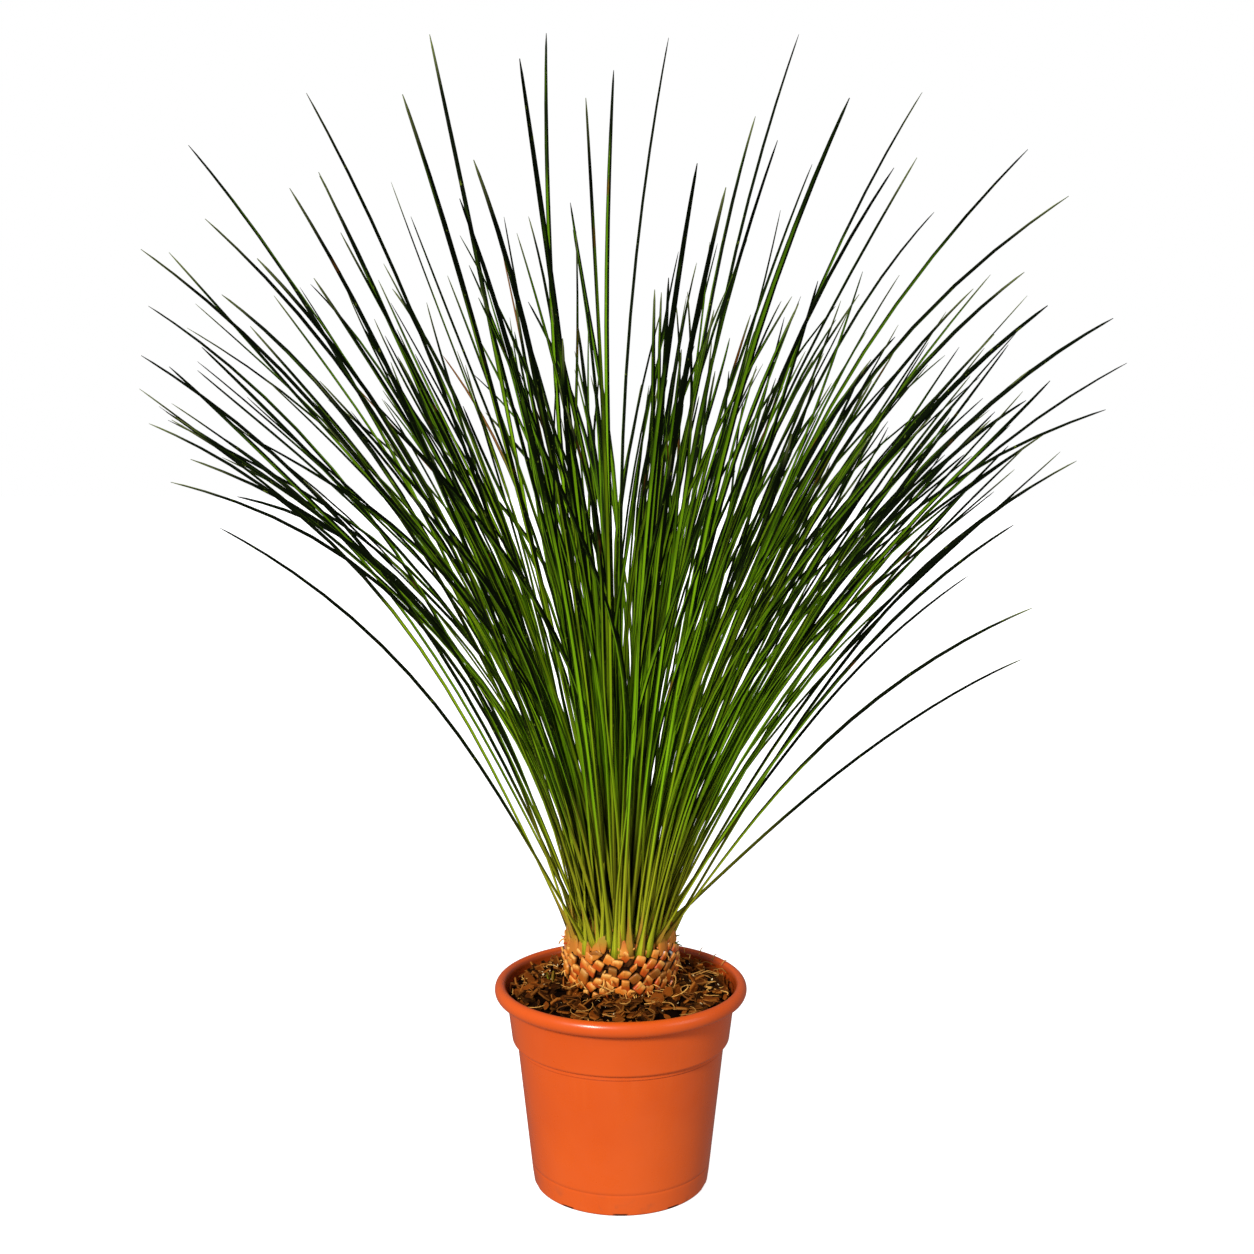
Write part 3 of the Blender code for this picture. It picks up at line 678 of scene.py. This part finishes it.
def tube(path, radius, sides=6):
    """A closed tube along a path, thinner at both ends."""
    tangent = unit(np.gradient(path, axis=0))
    first = unit(np.cross(tangent, np.array([0.31, 0.22, 0.92])))
    second = np.cross(tangent, first)
    share = np.linspace(0, 1, len(path))
    thick = radius * (0.35 + 0.65 * np.sin(math.pi * np.clip(share, 0.06, 0.94)) ** 0.5)
    turns = 2 * math.pi * np.arange(sides) / sides
    ring = first[:, None] * np.cos(turns)[:, None] + second[:, None] * np.sin(turns)[:, None]
    return (path[:, None] + ring * thick[:, None, None]).reshape(-1, 3), closed_faces(len(path), sides)


def curl(rng, start, heading, length, lift, steps=11, most_turn=3.4):
    """A path that wanders over the soil from a start, turning as it goes but never into a ring."""
    turn = heading
    bends = rng.normal(0, 0.20) + rng.normal(0, 0.14, steps).cumsum()
    bends *= min(1.0, most_turn / np.abs(bends.cumsum()).max())
    points = [np.array(start, float)]
    rise = lift
    for bend in bends:
        turn += bend
        rise = float(np.clip(rise + rng.normal(0, 0.25), -0.5, 0.9))
        move = np.array([math.cos(turn), math.sin(turn), rise * 0.35]) * (length / steps)
        points.append(points[-1] + move)
    return np.array(points)


# Soil

SOIL_AT_WALL, SOIL_HEAP = 0.186, 0.012
SOIL_FROM, SOIL_TO = 0.0520, 0.1059
SOIL_FIBRES, GRAINS = 135, 40


def soil_height(x, y):
    """The soil's height, which falls from the trunk to the wall in small waves."""
    share = np.clip((np.hypot(x, y) - SOIL_FROM) / (SOIL_TO - SOIL_FROM), 0, 1)
    waves = 0.7 * np.sin(90 * x + 1) * np.sin(110 * y) + 0.5 * np.sin(170 * x + 60 * y)
    return SOIL_AT_WALL + SOIL_HEAP * (1 - share**2) + 0.0010 * waves


def make_soil_bed():
    """The soil under the loose pieces, with a hollow for the trunk."""
    clearance = 0.0006
    floor = POT_FLOOR + clearance
    profile = [(0.0, 0.147), (0.0375, 0.147), (0.0420, 0.165), (0.0460, 0.180), (0.0500, 0.192)]
    profile += [(r, POT_HEIGHT) for r in np.linspace(SOIL_FROM, SOIL_TO - 0.0002, 18)]
    profile += [(inner_radius(z) - clearance, z) for z in (COLLAR_LOW_Z, WALL_TOP_Z, FOOT_BAND_Z, floor)]
    points, faces = lathe(profile + [(0.0, floor)], 128)
    # Until here the pot's height stands for the top, whose points now get their own.
    top = points[:, 2] == POT_HEIGHT
    x, y = points[top, 0], points[top, 1]
    points[top, 2] = soil_height(x, y) - 0.0036 + 0.0010 * np.sin(310 * x + 5 * np.sin(280 * y)) * np.cos(290 * y)
    # The bed's edge of -1 gives it the near-black painted shade of bark_look.
    floats = {"tone": 0.1 * np.ones(len(points)), "edge": -np.ones(len(points))}
    mesh_piece("soil_bed", points, faces, bark_look(), "soil", floats=floats, replaces=["potting_soil"])


def ico():
    """Points and faces of a ball."""
    bpy.ops.mesh.primitive_ico_sphere_add(subdivisions=2, radius=1.0)
    made = bpy.context.object
    points = np.array([v.co[:] for v in made.data.vertices])
    faces = [tuple(p.vertices) for p in made.data.polygons]
    bpy.data.objects.remove(made, do_unlink=True)
    return points, faces


def turned_by(rng, points, flat):
    """The points under a rotation, which is small out of the level where flat is near one."""
    a = rng.uniform(0, 2 * math.pi)
    b, c = rng.normal(0, 0.9 - 0.6 * flat, 2)
    ca, sa, cb, sb, cc, sc = math.cos(a), math.sin(a), math.cos(b), math.sin(b), math.cos(c), math.sin(c)
    rz = np.array([[ca, -sa, 0], [sa, ca, 0], [0, 0, 1]])
    ry = np.array([[cb, 0, sb], [0, 1, 0], [-sb, 0, cb]])
    rx = np.array([[1, 0, 0], [0, cc, -sc], [0, sc, cc]])
    return points @ (rz @ ry @ rx).T


def chip(rng, ball, size, flat=0.5):
    """An angular chip: a ball cut by a few random planes, then flattened and turned."""
    points, faces = ball
    p = points.copy()
    for _ in range(9):
        normal = unit(rng.normal(0, 1, 3))
        cut = rng.uniform(0.45, 0.75)
        over = np.maximum(p @ normal - cut, 0)
        p -= over[:, None] * normal
    p *= np.array([1.0, rng.uniform(0.5, 0.9), rng.uniform(0.25, 0.5)]) * size
    return turned_by(rng, p, flat), faces


def ring_spots(rng, count, inner, outer):
    """Random places spread evenly over a ring."""
    radius = np.sqrt(rng.uniform(inner**2, outer**2, count))
    turn = rng.uniform(0, 2 * math.pi, count)
    return radius * np.cos(turn), radius * np.sin(turn)


def bark_plate(rng, size, flat):
    """A flat piece of bark with an uneven outline, chamfered edges and a slight warp."""
    sides = int(rng.integers(5, 8))
    turns = (np.arange(sides) + rng.uniform(-0.28, 0.28, sides)) * (2 * math.pi / sides)
    reach = rng.uniform(0.78, 1.08, sides)
    outline = np.stack([np.cos(turns) * reach, np.sin(turns) * reach * rng.uniform(0.45, 0.85)], axis=1)
    thick = rng.uniform(0.10, 0.20)
    rings = ((0.90, -thick), (1.0, -0.4 * thick), (1.0, 0.4 * thick), (0.84, thick))
    points = [(*(outline[k] * scale), z) for scale, z in rings for k in range(sides)]
    points += [(0.0, 0.0, -thick), (0.0, 0.0, thick * rng.uniform(0.8, 1.3))]
    points = np.array(points)
    points[:, 2] += rng.normal(0, 0.10) * points[:, 0] ** 2 + rng.normal(0, 0.12) * points[:, 0] * points[:, 1]
    faces = ring_faces(len(rings), sides)
    bottom, top, last = len(points) - 2, len(points) - 1, (len(rings) - 1) * sides
    for k in range(sides):
        n = (k + 1) % sides
        faces += [(bottom, n, k), (top, last + k, last + n)]
    edge = np.zeros(len(points))
    edge[sides : 3 * sides] = 1.0
    return turned_by(rng, points * size, flat), faces, edge


# Layers of bark: how many pieces, smallest, usual and largest size, how flat they lie and how high.
BARK_LAYERS = (
    (230, (0.0050, 0.0080, 0.0105), 0.92, (-0.0030, -0.0008)),
    (250, (0.0038, 0.0070, 0.0105), 0.50, (-0.0010, 0.0022)),
)


def make_bark():
    rng = np.random.default_rng(21)
    parts = []
    for count, sizes, flat, lift in BARK_LAYERS:
        for x, y in zip(*ring_spots(rng, count, SOIL_FROM, SOIL_TO - 0.003)):
            size = min(rng.triangular(*sizes), max(SOIL_TO - math.hypot(x, y), 0.0030))
            points, faces, edge = bark_plate(rng, size, flat)
            points += np.array([x, y, soil_height(x, y) + rng.uniform(*lift)])
            parts.append((points, faces, {"tone": rng.random(), "edge": edge}))
    joined_piece("soil_bark", parts, bark_look(), "soil", smooth=False)


# Fibres that end over the rim: where they start, the way they point, and how high they rise.
RIM_FIBRES = (
    ((-0.0290, -0.1050, 0.1950), -1.45, 0.0022), ((-0.0120, -0.1060, 0.1950), -1.30, 0.0020),
    ((0.0780, 0.0760, 0.1945), 0.90, 0.0060), ((0.0900, 0.0600, 0.1945), 0.70, 0.0050),
    ((0.0980, 0.0440, 0.1945), 0.50, 0.0045), ((0.0640, 0.0860, 0.1935), 1.60, 0.0035),
)


def make_fibres():
    rng = np.random.default_rng(31)
    parts = []
    wall = SOIL_TO - 0.0005
    for x, y in zip(*ring_spots(rng, SOIL_FIBRES, SOIL_FROM, wall - 0.002)):
        length = rng.triangular(0.007, 0.016, 0.044)
        start = (x, y, soil_height(x, y) + rng.uniform(0.0010, 0.0040))
        path = curl(rng, start, rng.uniform(0, 2 * math.pi), length, rng.normal(0, 0.3))
        radius = np.hypot(path[:, 0], path[:, 1])
        keep = np.clip(radius, SOIL_FROM - 0.002, wall)
        path[:, :2] *= (keep / radius)[:, None]
        ground = soil_height(path[:, 0], path[:, 1])
        path[:, 2] = np.clip(path[:, 2], ground + 0.0012, ground + 0.0072)
        points, faces = tube(path, rng.uniform(0.00032, 0.00070))
        parts.append((points, faces, {"tone": rng.random() ** 1.7}))
    for place, heading, tall in RIM_FIBRES:
        away, _ = level_ways(heading)
        steps = np.linspace(0, 1, 8)[:, None]
        path = np.array(place) + away * (0.007 * steps) + UP * tall * np.sin(1.9 * steps)
        points, faces = tube(path, 0.0005)
        parts.append((points, faces, {"tone": rng.uniform(0.2, 0.7)}))
    joined_piece("soil_fibres", parts, fibre_look(), "soil")


TRUNK_FIBRES = 70
# Short hairs on the trunk's sides: which side, height and tone.
SIDE_HAIRS = (
    (-1, 0.2385, 2.0), (-1, 0.2370, 2.0), (1, 0.2360, -1.0), (1, 0.2320, -1.0), (1, 0.2400, -1.0),
)


def make_trunk_fibres():
    rng = np.random.default_rng(41)
    parts = []
    for _ in range(TRUNK_FIBRES):
        turn = rng.uniform(0, 2 * math.pi)
        z = rng.uniform(0.196, 0.212) if rng.random() < 0.8 else rng.uniform(0.212, 0.242)
        out, side = level_ways(turn)
        radius = between(TRUNK_OUTLINE, z)
        steps = np.linspace(0, 1, 10)[:, None]
        length = rng.uniform(0.006, 0.019)
        sway, drop, curve = rng.normal(0, 0.6), rng.uniform(-0.5, 0.5), rng.normal(0, 0.7)
        path = (
            out * (radius - 0.001 + length * np.sin(1.7 * steps) * 0.5)
            + side * length * (sway * steps + curve * steps**2)
            + UP * z + UP * length * (drop * steps - 0.5 * steps**2)
        )
        points, faces = tube(path, rng.uniform(0.00045, 0.00090))
        parts.append((points, faces, {"tone": rng.uniform(0.35, 1.0)}))
    for side_sign, z, tone in SIDE_HAIRS:
        turn = (math.pi if side_sign < 0 else 0.0) - side_sign * rng.uniform(0.05, 0.35)
        out, _ = level_ways(turn)
        steps = np.linspace(0, 1, 8)[:, None]
        start = out * (between(TRUNK_OUTLINE, z) - 0.001) + UP * z
        path = start + out * (0.0062 * steps) + UP * rng.uniform(-0.002, 0.005) * steps**1.5
        points, faces = tube(path, 0.0007)
        parts.append((points, faces, {"tone": tone}))
    joined_piece("trunk_fibres", parts, fibre_look(), "trunk")


def make_grains():
    rng = np.random.default_rng(51)
    ball = ico()
    parts = []
    for x, y in zip(*ring_spots(rng, GRAINS, SOIL_FROM + 0.002, SOIL_TO - 0.005)):
        points, faces = chip(rng, ball, rng.uniform(0.0008, 0.0018), flat=0.2)
        points += np.array([x, y, soil_height(x, y) + rng.uniform(0.0020, 0.0038)])
        parts.append((points, faces, {}))
    joined_piece("soil_grains", parts, grain_look(), "soil")


# Leaves

# Where the rings of points stand, as shares of a leaf's length, here and in the CAD.
STATIONS = np.array([
    0.0, 0.006, 0.014, 0.024, 0.038, 0.056, 0.08, 0.115, 0.16, 0.21, 0.27, 0.33,
    0.40, 0.47, 0.54, 0.61, 0.68, 0.75, 0.81, 0.87, 0.92, 0.96, 0.985, 1.0,
])
CAD_STATIONS = np.array([0.0, 0.03, 0.08, 0.16, 0.28, 0.42, 0.56, 0.70, 0.82, 0.92, 1.0])
# A longer step than this between two points along a CAD leaf leads to its next ring.
RING_GAP = 0.006
# Even points of a ring are the leaf's corners, and odd ones lie in its hollow faces, at this share of their reach.
AROUND, HOLLOW = 8, 0.76
HALF_WIDTH, SEAT_FLARE, FLARE_LENGTH, THICKNESS = 0.0025, 0.0019, 0.010, 0.68
# How far the first two rings sink into the trunk.
SUNK = np.array([[0.010], [0.003]])
# Share of the half width at shares of the length.
TAPER = (
    (0.76, 0.0), (0.82, 0.10), (0.92, 0.25), (1.00, 0.45), (1.02, 0.60),
    (0.96, 0.76), (0.84, 0.87), (0.68, 0.94), (0.44, 0.985), (0.14, 1.0),
)
CROWN_MIDDLE = np.array([0.0, 0.0, 0.26])
# Degrees between an upright leaf and the lowest.
LEAN_RANGE = 48.0
# Of the CAD's leaves, the first ones stand in front.
FRONT_LEAVES = 27
FILL, FILL_PIECES = 292, 3


def cad_leaf(node):
    """The start, tip and bow of a CAD leaf, read from the rings of its mesh."""
    co = np.array([v.co[:] for v in frame["nodes"][node].data.vertices])
    co = np.unique(np.round(co, 6), axis=0)
    distance = np.linalg.norm(co - CROWN_MIDDLE, axis=1)
    far, near = co[np.argmax(distance)], co[np.argmin(distance)]
    along = (co - near) @ unit(far - near)
    order = np.argsort(along)
    gaps = np.flatnonzero(np.diff(along[order]) > RING_GAP) + 1
    rings = np.array([ring.mean(axis=0) for ring in np.split(co[order], gaps)])
    shares = CAD_STATIONS[:, None]
    start, tip = rings[0], rings[-1]
    arch = shares - shares**3
    bow = ((rings - start - (tip - start) * shares) * arch).sum(axis=0) / (arch**2).sum()
    return start, tip, bow


def blade(rng, start, tip, bow, rise=0.0, width=1.0, tone=0.5, sway=0.0, core=0.0, dim=0.0):
    """Points, faces, point values and face coordinates of one leaf.

    bow arches it, rise lifts it near its start and sway makes it wander. tone, core and dim are for its look.
    """
    s = STATIONS[:, None]
    chord = tip - start
    length = float(np.linalg.norm(chord))
    level = np.array([-chord[1], chord[0], 0.0])
    if np.hypot(chord[0], chord[1]) < 0.02 * length:
        level, _ = level_ways(rng.uniform(0, 2 * math.pi))
    level = unit(level)
    lifted = unit(np.cross(chord, level))
    spine = start + chord * s + bow * (s - s**3) + rise * (s - 1.5 * s**2 + 0.5 * s**3)
    heading = unit(chord + bow + rise)
    spine[:2] -= heading * SUNK
    phase = rng.uniform(0, 6, 2)
    wave = s * (1 - s) * sway
    spine = spine + level * wave * np.sin(7 * s + phase[0]) + lifted * wave * np.sin(6 * s + phase[1])
    tangent = unit(np.gradient(spine, STATIONS, axis=0))
    across = unit(level - tangent * (tangent @ level)[:, None])
    normal = np.cross(tangent, across)
    roll = rng.normal(0, 0.35) + rng.normal(0, 0.7) * s
    across, normal = across * np.cos(roll) + normal * np.sin(roll), normal * np.cos(roll) - across * np.sin(roll)
    flare = SEAT_FLARE * (1 + 1.1 * max(1 - 6 * core, 0)) * np.exp(-s * length / FLARE_LENGTH)
    half = HALF_WIDTH * width * between(TAPER, s) + flare
    thick = half * THICKNESS
    turns = np.arange(AROUND) * (2 * math.pi / AROUND)
    size = np.where(np.arange(AROUND) % 2 == 0, 1.0, HOLLOW)
    points = (
        spine[:, None]
        + across[:, None] * (half * np.cos(turns) * size)[:, :, None]
        + normal[:, None] * (thick * np.sin(turns) * size)[:, :, None]
    ).reshape(-1, 3)
    uv, reach = [], STATIONS * length
    for near, far in zip(reach[:-1], reach[1:]):
        for k in range(AROUND):
            u0, u1 = k / AROUND, (k + 1) / AROUND
            uv += [(u0, near), (u1, near), (u1, far), (u0, far)]
    uv += [(k / AROUND, 0.0) for k in range(AROUND)][::-1]
    uv += [(k / AROUND, length) for k in range(AROUND)]
    faces = closed_faces(len(STATIONS), AROUND)
    floats = {"share": np.repeat(STATIONS, AROUND), "reach": np.repeat(reach, AROUND)}
    return points, faces, floats | {"tone": tone, "core": core, "dim": dim}, uv


def leaf_piece(name, blades, look, replaces=()):
    """One piece of many leaves, each with four sharp edges."""
    uv = [pair for b in blades for pair in b[3]]
    mesh = joined_piece(name, [b[:3] for b in blades], look, "leaf", uv=uv, replaces=replaces).data
    around = np.arange(len(mesh.vertices)) % AROUND
    ends = np.zeros(len(mesh.edges) * 2, int)
    mesh.edges.foreach_get("vertices", ends)
    ends = ends.reshape(-1, 2)
    corner = (around[ends[:, 0]] == around[ends[:, 1]]) & (around[ends[:, 0]] % 2 == 0)
    sharp = mesh.attributes.new("sharp_edge", "BOOLEAN", "EDGE")
    sharp.data.foreach_set("value", corner)


def leaf_bow(start, tip, droop, bend):
    """An arch upwards and sideways, from shares of the leaf's length."""
    chord = tip - start
    length = np.linalg.norm(chord)
    along = unit(chord)
    up = unit(UP - along * along[2])
    return (up * droop + np.cross(up, along) * bend) * length


def dimness(start, tip, least):
    """How early painted shade turns a leaf dark along its length, more for a leaf that lies lower."""
    chord = tip - start
    lean = math.degrees(math.asin(chord[2] / np.linalg.norm(chord)))
    return least + 1.2 * min(max((90 - lean) / LEAN_RANGE - 0.62, 0.0), 0.36)


def depth_in(start):
    """How deep in the crown a leaf stands: none at the edge, one in the middle."""
    return max(1 - math.hypot(start[0], start[1]) / CROWN_RADIUS, 0.0)


def fill_leaves(rng):
    """The start, tip, bow and rise of the shorter leaves, from the middle of the crown to its edge.

    The crown is a little fuller to the right. Its tips leave a narrow gap in the middle and lie lower beside it.
    Leaves at the front stand further out on the trunk, and some of the outer ones lower.
    """
    leaves = []
    for i in range(FILL):
        share = (i + 0.5) / FILL
        turn = i * GOLDEN_TURN + rng.normal(0, 0.06)
        turn -= 0.16 * math.sin(turn)
        east, front = math.cos(turn), max(-math.sin(turn), 0.0)
        elevation = 88 - 36 * share**0.44 + rng.normal(0, 3.4)
        elevation = max(elevation, 51.0 + rng.uniform(0, 2.0))
        length = rng.triangular(0.42, 0.58, 0.72) + 0.03 * share
        level_most = (0.358 - 0.013 * east) * (1 - 0.20 * front * abs(east)) + rng.uniform(0, 0.018)
        length = min(length, level_most / math.cos(math.radians(elevation)))
        radius = CROWN_RADIUS * math.sqrt(share) * (0.90 + 0.10 * front)
        away, _ = level_ways(turn)
        start = radius * away + UP * crown_height(radius)
        if share > 0.70 and rng.random() < 0.5:
            outside = min(1.6 * front, 1.0)
            start += 0.0028 * outside * away - UP * rng.uniform(0.002, 0.007) * outside
        lean, tip_turn = math.radians(elevation), turn + rng.normal(0, 0.19)
        level = math.cos(lean)
        tip = start + length * np.array([level * math.cos(tip_turn), level * math.sin(tip_turn), math.sin(lean)])
        tip[0] += math.copysign(0.022 * math.exp(-((tip[0] / 0.034) ** 2)), tip[0])
        tip = start + (tip - start) * (1 - 0.06 * math.exp(-(((tip[0] - 0.065) / 0.050) ** 2)))
        bow = leaf_bow(start, tip, rng.normal(0.03, 0.035), rng.normal(0, 0.055))
        lowness = (90 - elevation) / LEAN_RANGE
        lift = 0.03 + (0.95 - 0.42 * max(east, 0.0)) * lowness**2 + rng.normal(0, 0.05)
        rise = leaf_bow(start, tip, lift, rng.normal(0, 0.05))
        leaves.append((start, tip, bow, rise))
    return leaves


def make_leaves():
    look = leaf_look()
    rng = np.random.default_rng(61)
    nodes = sorted(n for n in frame["nodes"] if n.startswith("leaf_"))
    for name, part in (("outline_leaves_front", nodes[:FRONT_LEAVES]), ("outline_leaves_back", nodes[FRONT_LEAVES:])):
        blades = []
        for start, tip, bow in map(cad_leaf, part):
            dim = dimness(start, tip, 0.18)
            blades.append(blade(
                rng, start, tip, bow, width=0.95, tone=rng.random(), sway=0.004, core=depth_in(start), dim=dim
            ))
        leaf_piece(name, blades, look, replaces=part)
    fill = fill_leaves(rng)
    for group in range(FILL_PIECES):
        blades = []
        for start, tip, bow, rise in fill[group::FILL_PIECES]:
            width, tone, sway = rng.uniform(0.58, 0.88), rng.random(), rng.uniform(0.006, 0.024)
            dim = dimness(start, tip, 0.02)
            blades.append(blade(rng, start, tip, bow, rise, width, tone, sway, depth_in(start), dim))
        leaf_piece(f"inner_leaves_{group + 1}", blades, look)


# Sprout


def make_sprout():
    rng = np.random.default_rng(71)
    start = np.array([-0.0664, -0.006, 0.1965])
    blades = []
    for dx, dy, tall in ((0.0012, -0.002, 0.0105), (-0.0016, -0.001, 0.0085)):
        tip = start + np.array([dx * 2, dy, tall])
        blades.append(blade(rng, start + np.array([dx, 0, 0]), tip, np.zeros(3), width=0.35, tone=0.9, core=0.2))
    leaf_piece("soil_sprout", blades, leaf_look())


# Stage


# The world's light, and what it gains for rays from gloss and from the camera.
WORLD_LIGHT, WORLD_GAINS = 0.42, (("Is Glossy Ray", -0.30), ("Is Camera Ray", 0.58))
# Lamps that point at the crown: name, kind, place, size and power.
LAMPS = (("key", "SUN", (-1.25, -2.35, 2.00), 0.20, 2.95), ("fill", "AREA", (2.6, -1.6, 1.4), 1.8, 10.0))
LIT_POINT = Vector((0.0, 0.0, 0.45))


def make_stage():
    bpy.ops.mesh.primitive_plane_add(size=40.0, location=(0, 0, 0))
    floor = bpy.context.object
    floor.name = "floor"
    floor.data.materials.append(floor_look())
    floor.visible_diffuse = floor.visible_glossy = False
    world = bpy.data.worlds.new("studio")
    world.use_nodes = True
    tree = world.node_tree
    background = tree.nodes["Background"]
    background.inputs["Color"].default_value = (1.0, 1.0, 1.0, 1.0)
    path = tree.nodes.new("ShaderNodeLightPath")
    strength = background.inputs["Strength"]
    for seen_by, gain in WORLD_GAINS:
        added = tree.nodes.new("ShaderNodeMath")
        added.operation = "MULTIPLY_ADD"
        added.inputs[1].default_value = gain
        added.inputs[2].default_value = WORLD_LIGHT
        tree.links.new(path.outputs[seen_by], added.inputs[0])
        tree.links.new(added.outputs[0], strength)
        strength = added.inputs[2]
    bpy.context.scene.world = world
    for name, kind, place, size, power in LAMPS:
        lamp = bpy.data.lights.new(name, kind)
        lamp.energy = power
        if kind == "SUN":
            lamp.angle = size
        else:
            lamp.shape, lamp.size = "DISK", size
        obj = bpy.data.objects.new(name, lamp)
        obj.location = place
        bpy.context.scene.collection.objects.link(obj)
        obj.rotation_euler = (LIT_POINT - obj.location).to_track_quat("-Z", "Y").to_euler()


def make_camera():
    data = bpy.data.cameras.new("eye")
    data.lens, data.sensor_width = LENS, SENSOR
    eye = bpy.data.objects.new("eye", data)
    eye.location = EYE
    eye.rotation_euler = (math.radians(90 - EYE_TILT), 0.0, 0.0)
    bpy.context.scene.collection.objects.link(eye)
    bpy.context.scene.camera = eye


bpy.context.scene.view_settings.view_transform = "Standard"
make_camera()
make_stage()
make_pot()
make_soil_bed()
make_bark()
make_fibres()
make_grains()
make_core()
make_stubs()
make_sheaths()
make_trunk_fibres()
make_leaves()
make_sprout()
